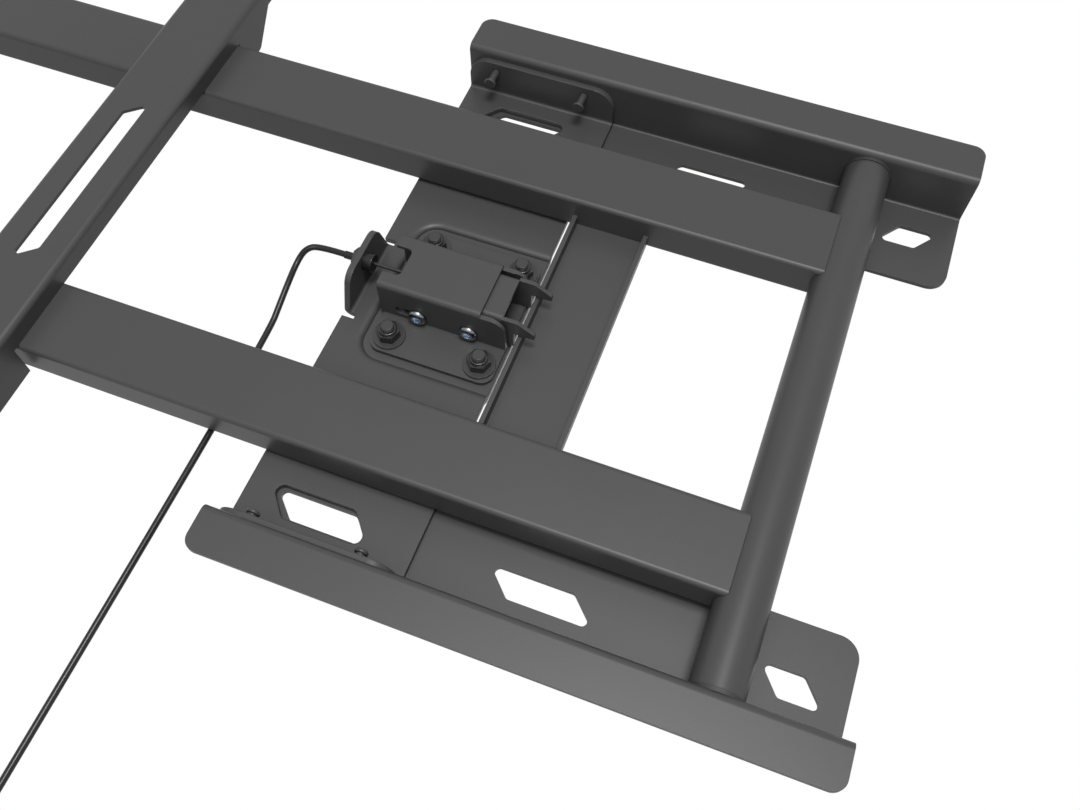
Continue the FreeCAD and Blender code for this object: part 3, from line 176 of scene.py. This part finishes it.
@dataclass(frozen=True)
class Finish:
    """A surface finish made of noise on object coordinates.

    The two tones are the darkest and lightest base colours, grain is the fine relief of the
    surface, and edge is the radius that sharp corners are shaded with, in metres.
    """

    name: str
    dark: Colour
    light: Colour
    roughness: float
    roughness_spread: float = 0.06
    metallic: float = 0.0
    specular: float = 0.5
    grain_scale: float = 1100.0
    grain_height: float = 0.00003
    tone_scale: float = 14.0
    edge: float = 0.0

    def _blend(self, sheet: NodeSheet, place: Field, speck: Field) -> Field:
        """How far the colour goes from the dark tone to the light one.

        Args:
            sheet: The material's node sheet.
            place: Object coordinates.
            speck: Noise between 0 and 1.

        Returns:
            The factor between the two tones.
        """
        return speck

    def _surface(self, sheet: NodeSheet, shader: Field) -> Field:
        """Last step before the output, the shader itself unless a finish adds to it.

        Args:
            sheet: The material's node sheet.
            shader: The finished Principled shader.

        Returns:
            The shader that goes to the output.
        """
        return shader

    def make(self) -> bpy.types.Material:
        """Builds the material.

        Returns:
            A node material ready to put on meshes.
        """
        material = bpy.data.materials.new(self.name)
        material.use_nodes = True
        sheet = NodeSheet(material.node_tree)
        place = sheet.add("ShaderNodeTexCoord").out("Object")
        tone = sheet.add("ShaderNodeTexNoise", None, {
            "Vector": place, "Scale": self.tone_scale, "Detail": 3.0})
        grain = sheet.add("ShaderNodeTexNoise", None, {
            "Vector": place, "Scale": self.grain_scale, "Detail": 2.0})
        colour = sheet.add("ShaderNodeMix", {"data_type": "RGBA"}, {
            "Factor": self._blend(sheet, place, tone * 0.7 + grain * 0.3),
            6: (*self.dark, 1.0), 7: (*self.light, 1.0)}).out(2)
        rough = (grain * 0.5 + tone * 0.5 - 0.5) * (2.0 * self.roughness_spread) + self.roughness
        relief: dict[Any, Any] = {"Height": grain, "Strength": 1.0, "Distance": self.grain_height}
        if self.edge > 0.0:
            relief["Normal"] = sheet.add("ShaderNodeBevel", {"samples": 6}, {"Radius": self.edge})
        bump = sheet.add("ShaderNodeBump", None, relief)
        shader = sheet.add("ShaderNodeBsdfPrincipled", None, {
            "Base Color": colour, "Roughness": rough, "Metallic": self.metallic,
            "Specular IOR Level": self.specular, "Normal": bump})
        sheet.add("ShaderNodeOutputMaterial", None, {"Surface": self._surface(sheet, shader)})
        return material


@dataclass(frozen=True)
class SocketHighlightFinish(Finish):
    """Screw head coloured darker towards its rim, with a painted highlight in its socket, for the two screws
    across the latch.

    The screws stand at axis_x either side of the middle and at axis_y from the wall. The colour goes from the
    light tone, a painted highlight, at the inner radius to the dark one at the outer radius.
    """

    axis_x: float = 0.01695
    axis_y: float = -0.0142
    inner: float = 0.0027
    outer: float = 0.0037

    def _blend(self, sheet: NodeSheet, place: Field, speck: Field) -> Field:
        """Painted highlight near the screw's axis, dark tone on the rim.

        Args:
            sheet: The material's node sheet.
            place: Object coordinates.
            speck: Noise between 0 and 1.

        Returns:
            The factor between the two tones.
        """
        parts = sheet.add("ShaderNodeSeparateXYZ", None, {0: place})
        across = parts.out(0).absolute() - self.axis_x
        deep = parts.out(1) - self.axis_y
        radius = sheet.add("ShaderNodeVectorMath", {"operation": "LENGTH"}, {
            0: sheet.add("ShaderNodeCombineXYZ", None, {0: across, 1: deep})}).out(1)
        # Painted highlight: light tone inside the inner radius, fading to the dark tone at the outer radius.
        painted_highlight = sheet.add("ShaderNodeMapRange", None, {
            0: radius, 1: self.inner, 2: self.outer, 3: 1.0, 4: 0.0})
        return painted_highlight * 0.9 + speck * 0.1


@dataclass(frozen=True)
class FloorFinish(Finish):
    """Pale floor that the camera sees nearly white, with a faint shadow of the object left."""

    white_share: float = 0.82

    def _surface(self, sheet: NodeSheet, shader: Field) -> Field:
        """Adds white light for camera, glossy and transmission rays.

        Args:
            sheet: The material's node sheet.
            shader: The floor's Principled shader.

        Returns:
            The mixed shader.
        """
        ray = sheet.add("ShaderNodeLightPath")
        seen = ray.out("Is Camera Ray") + ray.out("Is Glossy Ray") + ray.out("Is Transmission Ray")
        white = sheet.add("ShaderNodeEmission", None, {"Color": (1.0, 1.0, 1.0, 1.0), "Strength": 1.0})
        return sheet.add("ShaderNodeMixShader", None, {0: seen * self.white_share, 1: shader, 2: white})


class Finishes:
    """All finishes of the mount, made once each."""

    TABLE: dict[Slot, Finish] = {
        Slot.COAT: Finish("satin_powder_coat", (0.05, 0.05, 0.05), (0.059, 0.059, 0.059), 0.4, 0.05,
                          specular=0.32, edge=0.0004),
        Slot.DARK: Finish("black_fastener", (0.032, 0.032, 0.032), (0.042, 0.042, 0.042), 0.34, 0.06,
                          specular=0.4, grain_height=0.00001, edge=0.0003),
        Slot.ZINC: Finish("bright_zinc", (0.46, 0.5, 0.56), (0.66, 0.7, 0.76), 0.27, 0.08, metallic=1.0,
                          grain_height=0.000008, tone_scale=300.0, edge=0.0003),
        Slot.WIRE: Finish("dark_drawn_wire", (0.026, 0.026, 0.027), (0.044, 0.044, 0.046), 0.34, 0.06,
                          metallic=0.6, grain_height=0.000006, tone_scale=400.0),
        Slot.WASHER: Finish("matt_hinge_washer", (0.02, 0.02, 0.021), (0.03, 0.03, 0.031), 0.6, edge=0.0004),
        Slot.PLASTIC: Finish("matt_black_plastic", (0.022, 0.022, 0.024), (0.034, 0.034, 0.036), 0.52,
                             grain_height=0.00004, edge=0.0006),
        Slot.SHEATH: Finish("cable_sheath_plastic", (0.008, 0.008, 0.009), (0.014, 0.014, 0.015), 0.28,
                            specular=0.3, grain_height=0.000001, tone_scale=60.0),
        Slot.PRESSED: Finish("pressed_powder_coat", (0.05, 0.05, 0.05), (0.059, 0.059, 0.059), 0.4, 0.05,
                             specular=0.32, edge=0.0012),
        Slot.NUT: Finish("oiled_black_nut", (0.012, 0.012, 0.012), (0.02, 0.02, 0.02), 0.22, 0.05,
                         specular=0.5, grain_height=0.000006, edge=0.0003),
        # The light tone is a bluish painted highlight in the socket; the dark tone colours the rim.
        Slot.SOCKET: SocketHighlightFinish("zinc_with_painted_socket_highlight", (0.2, 0.205, 0.215), (0.72, 0.84, 0.96),
                                  0.25, 0.04, metallic=1.0, grain_height=0.000004, edge=0.0003),
    }

    def __init__(self) -> None:
        """Makes every material of the table."""
        self.materials = {slot: finish.make() for slot, finish in self.TABLE.items()}

    def dress(self, obj: bpy.types.Object, slot: Slot) -> None:
        """Gives an object one finish.

        Args:
            obj: The CAD node or new piece.
            slot: The finish to use.
        """
        obj.data.materials.clear()
        obj.data.materials.append(self.materials[slot])
        LOG.info("dressed %s with %s", obj.name, slot.value)


class Workshop:
    """Makes objects from bmesh work."""

    @staticmethod
    def piece(name: str, mesh: bmesh.types.BMesh, body: Body, smooth_angle: float = 35.0) -> bpy.types.Object:
        """Turns a finished bmesh into a piece that rides on a body.

        Args:
            name: The new object's name.
            mesh: The bmesh, in the row frame; it is freed.
            body: The CAD body that carries the piece.
            smooth_angle: Edges flatter than this, in degrees, are shaded smooth.

        Returns:
            The new object.
        """
        bmesh.ops.remove_doubles(mesh, verts=mesh.verts, dist=SAME_PLACE)
        bmesh.ops.recalc_face_normals(mesh, faces=mesh.faces)
        limit = math.radians(smooth_angle)
        for face in mesh.faces:
            face.smooth = True
        for edge in mesh.edges:
            edge.smooth = len(edge.link_faces) == 2 and edge.calc_face_angle(0.0) < limit
        data = bpy.data.meshes.new(name)
        mesh.to_mesh(data)
        mesh.free()
        obj = bpy.data.objects.new(name, data)
        bpy.context.scene.collection.objects.link(obj)
        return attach(obj, body.value)


@dataclass
class CadDressing:
    """Finishes of the CAD nodes that are shown as they are."""

    finishes: Finishes
    groups: dict[Slot, tuple[str, ...]] = field(default_factory=lambda: {
        Slot.COAT: ("wall_rail_top", "wall_rail_bottom", "latch_base", "latch_housing", "latch_bolt",
                    "frame_tube_top", "frame_tube_bottom", "strike_channel", "hinge_column", "hinge_plugs",
                    "screen_rail_right", "screen_rail_left", "tab_rivets", "pivot_weld_nuts"),
        Slot.NUT: ("latch_nuts",),
        Slot.DARK: ("latch_studs", "latch_washers", "pivot_bolts", "cable_bush_nut",
                    "rail_lock_screw_right", "rail_lock_nut_right", "rail_lock_screw_left",
                    "rail_lock_nut_left", "sheath_end_ferrule"),
        Slot.PRESSED: ("latch_plate",),
        Slot.ZINC: ("housing_cross_nut", "slide_cross_nut", "wire_nipple"),
        Slot.SOCKET: ("housing_cross_screw", "slide_cross_screw"),
        Slot.WIRE: ("latch_spring", "release_wire", "pull_wire"),
        Slot.WASHER: ("hinge_washers",),
        Slot.PLASTIC: ("tube_end_caps", "pull_ring"),
        Slot.SHEATH: ("cable_sheath", "sheath_ferrule", "cable_bush"),
    })

    def build(self) -> None:
        """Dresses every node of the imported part."""
        for slot, names in self.groups.items():
            for name in names:
                self.finishes.dress(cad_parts[name], slot)


@dataclass
class LatchStuds:
    """The four base studs with their rolled thread.

    Studs stand at half_x and half_z from the latch's middle. The thread runs from start to reach,
    both from the wall, with its crest between two shares of the pitch.
    """

    finishes: Finishes
    half_x: float = 0.0301
    half_z: float = 0.0363
    radius: float = 0.004
    pitch: float = 0.00125
    depth: float = 0.00068
    crest_from: float = 0.44
    crest_to: float = 0.56
    reach: float = 0.0195
    start: float = 0.0035
    overlap: float = 0.0002
    head_radius: float = 0.0055
    head_thick: float = 0.0018
    rim_bevel: float = 0.0002
    sharp_angle: float = 1.0
    steps: int = 28
    head_sides: int = 40

    def _thread(self, mesh: bmesh.types.BMesh, x: float, z: float) -> None:
        """Adds one threaded shank.

        Args:
            mesh: The bmesh to add to.
            x: The stud's place along the tubes.
            z: The stud's height.
        """
        centre = Vector((x, 0.0, z))
        part = bmesh.new()
        root = self.radius - self.depth
        crest = self.radius
        outline = ((root, 0.0), (crest, self.crest_from * self.pitch), (crest, self.crest_to * self.pitch),
                   (root, self.pitch))
        verts = [part.verts.new((x + r, -along, z)) for r, along in outline]
        edges = [part.edges.new(pair) for pair in zip(verts, verts[1:])]
        turns = math.ceil(self.reach / self.pitch) + 1
        bmesh.ops.spin(part, geom=verts + edges, cent=centre, axis=(0.0, -1.0, 0.0),
                       dvec=(0.0, -self.pitch / self.steps, 0.0), angle=2.0 * math.pi * turns,
                       steps=self.steps * turns, use_merge=False, use_duplicate=False)
        bmesh.ops.remove_doubles(part, verts=part.verts, dist=SAME_PLACE)
        for place, normal in ((self.reach, -1.0), (self.start, 1.0)):
            bmesh.ops.bisect_plane(part, geom=part.verts[:] + part.edges[:] + part.faces[:], dist=SAME_PLANE,
                                   plane_co=(x, -place, z), plane_no=(0.0, normal, 0.0), clear_outer=True)
            rim = [edge for edge in part.edges if edge.is_boundary
                   and all(abs(vert.co.y + place) < SAME_PLACE for vert in edge.verts)]
            bmesh.ops.contextual_create(part, geom=rim)
        self._join(mesh, part)

    def _head(self, mesh: bmesh.types.BMesh, x: float, z: float) -> None:
        """Adds the stud's flat head and the plain neck under the thread.

        Args:
            mesh: The bmesh to add to.
            x: The stud's place along the tubes.
            z: The stud's height.
        """
        head = (self.head_radius, 0.0, self.head_thick)
        neck = (self.radius, 0.0, self.start + self.overlap)
        for radius, low, high in (head, neck):
            part = bmesh.new()
            turn = Matrix.Rotation(math.pi / 2.0, 4, "X")
            shift = Matrix.Translation((x, -(low + high) / 2.0, z))
            bmesh.ops.create_cone(part, cap_ends=True, segments=self.head_sides, radius1=radius,
                                  radius2=radius, depth=high - low, matrix=shift @ turn)
            rims = [edge for edge in part.edges if len(edge.link_faces) == 2
                    and edge.calc_face_angle(0.0) > self.sharp_angle]
            bmesh.ops.bevel(part, geom=rims, offset=self.rim_bevel, offset_type="OFFSET", segments=2,
                            profile=0.5, affect="EDGES", material=-1)
            self._join(mesh, part)

    @staticmethod
    def _join(mesh: bmesh.types.BMesh, part: bmesh.types.BMesh) -> None:
        """Moves one bmesh's faces into another and frees it.

        Args:
            mesh: The bmesh that gets the faces.
            part: The bmesh that gives them.
        """
        data = bpy.data.meshes.new("part")
        part.to_mesh(data)
        part.free()
        mesh.from_mesh(data)
        bpy.data.meshes.remove(data)

    def build(self) -> None:
        """Builds the four studs in place of the CAD node."""
        mesh = bmesh.new()
        for x in (-self.half_x, self.half_x):
            for z in (-self.half_z, self.half_z):
                self._thread(mesh, x, z)
                self._head(mesh, x, z)
        obj = Workshop.piece("latch_studs_threaded", mesh, Body.WALL_SIDE)
        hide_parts("latch_studs")
        self.finishes.dress(obj, Slot.DARK)


@dataclass
class PocketRoll:
    """Rounded shoulder of the plate's pressed pocket, from its rim down to its floor.

    The pocket runs from left to right and half up and half down, with round corners. Its floor lies
    step inside the rim, and the shoulder starts lead outside the rim, sink under the plate's front.
    """

    finishes: Finishes
    left: float = -0.0495
    right: float = 0.0425
    half: float = 0.0575
    corner: float = 0.018
    front: float = -0.007
    floor: float = -0.004
    step: float = 0.004
    lead: float = 0.00054
    sink: float = 0.00003
    floor_cover: float = 0.0006
    rim_cover: float = 0.0012
    points: int = 12
    corner_steps: int = 20

    def _section(self, mesh: bmesh.types.BMesh) -> list[bmesh.types.BMEdge]:
        """Draws the closed section at the plate's right edge, on the upper rim.

        Args:
            mesh: The bmesh to add to.

        Returns:
            The section's edges.
        """
        wide = self.step + self.lead
        deep = self.floor - self.front
        outline = []
        for index in range(self.points + 1):
            turn = 0.5 * math.pi * index / self.points
            outline.append((wide * math.sin(turn) - self.lead, self.floor - deep * math.cos(turn)))
        outline[0] = (outline[0][0], outline[0][1] + self.sink)
        outline.append((self.step, self.floor + self.floor_cover))
        outline.append((-self.lead, self.front + self.rim_cover))
        verts = [mesh.verts.new((self.right, y, self.half - inward)) for inward, y in outline]
        return [mesh.edges.new(pair) for pair in zip(verts, verts[1:] + verts[:1])]

    @staticmethod
    def _straight(mesh: bmesh.types.BMesh, edges: list[bmesh.types.BMEdge],
                  move: Point) -> list[bmesh.types.BMEdge]:
        """Draws the section out along a straight run.

        Args:
            mesh: The bmesh to add to.
            edges: The section's edges.
            move: The run.

        Returns:
            The edges at the run's end.
        """
        made = bmesh.ops.extrude_edge_only(mesh, edges=edges)["geom"]
        verts = [item for item in made if isinstance(item, bmesh.types.BMVert)]
        bmesh.ops.translate(mesh, verts=verts, vec=move)
        moved = set(verts)
        return [item for item in made if isinstance(item, bmesh.types.BMEdge)
                and item.verts[0] in moved and item.verts[1] in moved]

    def _bend(self, mesh: bmesh.types.BMesh, edges: list[bmesh.types.BMEdge],
              centre: Point) -> list[bmesh.types.BMEdge]:
        """Turns the section through a quarter round one corner.

        Args:
            mesh: The bmesh to add to.
            edges: The section's edges.
            centre: The corner's centre.

        Returns:
            The edges at the corner's end.
        """
        verts = list({vert for edge in edges for vert in edge.verts})
        made = bmesh.ops.spin(mesh, geom=verts + edges, cent=centre, axis=(0.0, -1.0, 0.0),
                              angle=0.5 * math.pi, steps=self.corner_steps)["geom_last"]
        return [item for item in made if isinstance(item, bmesh.types.BMEdge)]

    def build(self) -> None:
        """Builds the shoulder along the upper rim, the left side and the lower rim."""
        mesh = bmesh.new()
        start = self._section(mesh)
        along = self.right - self.left - self.corner
        side = self.half - self.corner
        centre_x = self.left + self.corner
        edges = self._straight(mesh, start, (-along, 0.0, 0.0))
        edges = self._bend(mesh, edges, (centre_x, 0.0, side))
        edges = self._straight(mesh, edges, (0.0, 0.0, -2.0 * side))
        edges = self._bend(mesh, edges, (centre_x, 0.0, -side))
        edges = self._straight(mesh, edges, (along, 0.0, 0.0))
        bmesh.ops.edgeloop_fill(mesh, edges=start)
        bmesh.ops.edgeloop_fill(mesh, edges=edges)
        roll = Workshop.piece("pocket_shoulder", mesh, Body.WALL_SIDE)
        self.finishes.dress(roll, Slot.COAT)


@dataclass
class ReleaseCable:
    """The sheath, from its ferrule over and down behind the lower tube.

    The route's points are the CAD sheath's, moved onto the line in the photograph.
    """

    finishes: Finishes
    route: tuple[Point, ...] = (
        (-0.0745, -0.0245, 0.0),
        (-0.0925, -0.0245, 0.0),
        (-0.09977, -0.0245, -0.0042),
        (-0.10397, -0.018, -0.01147),
        (-0.1019, -0.0162, -0.032),
        (-0.101, -0.0045, -0.068),
        (-0.1015, -0.0045, -0.362),
    )
    diameter: float = 0.004
    length: float = 0.3838

    def build(self) -> None:
        curve = bpy.data.curves.new("cable_sheath_line", "CURVE")
        curve.dimensions = "3D"
        curve.resolution_u = 24
        curve.bevel_depth = 1.0
        curve.bevel_resolution = 6
        curve.use_fill_caps = True
        spline = curve.splines.new("NURBS")
        spline.points.add(len(self.route) - 1)
        for point, place in zip(spline.points, self.route):
            point.co = (*place, 1.0)
            point.radius = self.diameter / 2.0
        spline.order_u = 3
        spline.use_endpoint_u = True
        obj = bpy.data.objects.new("cable_sheath_line", curve)
        bpy.context.scene.collection.objects.link(obj)
        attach(obj, Body.WALL_SIDE.value)
        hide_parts("cable_sheath")
        self.finishes.dress(obj, Slot.SHEATH)


@dataclass(frozen=True)
class Lamp:
    """A soft square lamp: its name, its place, the point it faces, its side and its power in watts."""

    name: str
    place: Point
    target: Point
    size: float
    power: float

    def build(self) -> None:
        """Adds the lamp to the scene."""
        data = bpy.data.lights.new(self.name, "AREA")
        data.size = self.size
        data.energy = self.power
        lamp = bpy.data.objects.new(self.name, data)
        lamp.location = self.place
        lamp.rotation_mode = "QUATERNION"
        lamp.rotation_quaternion = (Vector(self.target) - Vector(self.place)).to_track_quat("-Z", "Y")
        bpy.context.scene.collection.objects.link(lamp)


@dataclass
class Studio:
    """Camera, lamps, floor and world.

    The camera's place and its three directions are the ones solved from the photograph. The world
    gives soft_level of light from ahead and behind and none from the sides.
    """

    focal: float = 34.617
    place: Point = (0.1799, -0.5492, -0.3318)
    right: Point = (0.936185, -0.00138, 0.351506)
    down: Point = (0.307817, 0.486067, -0.817917)
    ahead: Point = (-0.169727, 0.87392, 0.455473)
    floor_z: float = -1.25
    floor_half: float = 6.0
    soft_level: float = 0.12
    lamps: tuple[Lamp, ...] = (
        Lamp("key", (0.3, -2.3, -0.15), (0.1, 0.0, -0.3), 0.7, 36.0),
        Lamp("fill", (0.08, -1.0, -0.45), (0.04, 0.0, -0.45), 0.8, 4.6),
    )

    def _camera(self) -> None:
        """Camera at the photograph's place and angle."""
        data = bpy.data.cameras.new("photo_camera")
        data.lens = self.focal
        data.sensor_width = 36.0
        data.clip_start = 0.01
        camera = bpy.data.objects.new("photo_camera", data)
        axes = (Vector(self.right), -Vector(self.down), -Vector(self.ahead))
        turn = Matrix((axes[0], axes[1], axes[2])).transposed().to_4x4()
        camera.matrix_world = Matrix.Translation(self.place) @ turn
        bpy.context.scene.collection.objects.link(camera)
        bpy.context.scene.camera = camera

    def _floor(self) -> None:
        """Plain pale floor far below the mount, on which its shadow falls."""
        mesh = bmesh.new()
        bmesh.ops.create_grid(mesh, x_segments=8, y_segments=8, size=self.floor_half,
                              matrix=Matrix.Translation((0.0, 0.0, self.floor_z)))
        data = bpy.data.meshes.new("floor")
        mesh.to_mesh(data)
        mesh.free()
        floor = bpy.data.objects.new("floor", data)
        bpy.context.scene.collection.objects.link(floor)
        finish = FloorFinish("pale_floor", (0.78, 0.78, 0.78), (0.82, 0.82, 0.82), 0.7, tone_scale=1.5,
                             grain_scale=40.0)
        data.materials.append(finish.make())

    def _world(self) -> None:
        """White surroundings for the camera and for reflections, soft light for the rest."""
        world = bpy.data.worlds.new("studio")
        world.use_nodes = True
        bpy.context.scene.world = world
        sheet = NodeSheet(world.node_tree)
        ray = sheet.add("ShaderNodeLightPath")
        seen = ray.out("Is Camera Ray") + ray.out("Is Glossy Ray") + ray.out("Is Transmission Ray")
        ahead = sheet.add("ShaderNodeTexCoord").out("Generated")
        depth = sheet.add("ShaderNodeSeparateXYZ", None, {0: ahead}).out(1)
        stops = ((0.0, self.soft_level), (1.0, self.soft_level), (0.5, 0.0))
        level = sheet.add("ShaderNodeValToRGB", {"stops": stops}, {0: 0.5 - depth * 0.5})
        soft = sheet.add("ShaderNodeBackground", None, {"Color": level, "Strength": 1.0})
        white = sheet.add("ShaderNodeBackground", None, {"Color": (1.0, 1.0, 1.0, 1.0), "Strength": 1.0})
        mixed = sheet.add("ShaderNodeMixShader", None, {0: seen, 1: soft, 2: white})
        sheet.add("ShaderNodeOutputWorld", None, {"Surface": mixed})

    def build(self) -> None:
        """Sets the whole studio up."""
        self._camera()
        self._floor()
        self._world()
        for lamp in self.lamps:
            lamp.build()
        bpy.context.scene.view_settings.view_transform = "Standard"
        LOG.info("studio ready")


def main() -> None:
    """Builds the studio, the cable and the other pieces, in that order."""
    logging.basicConfig(level=logging.INFO)
    Studio().build()
    finishes = Finishes()
    ReleaseCable(finishes).build()
    CadDressing(finishes).build()
    LatchStuds(finishes).build()
    PocketRoll(finishes).build()


if __name__ == "__main__":
    main()
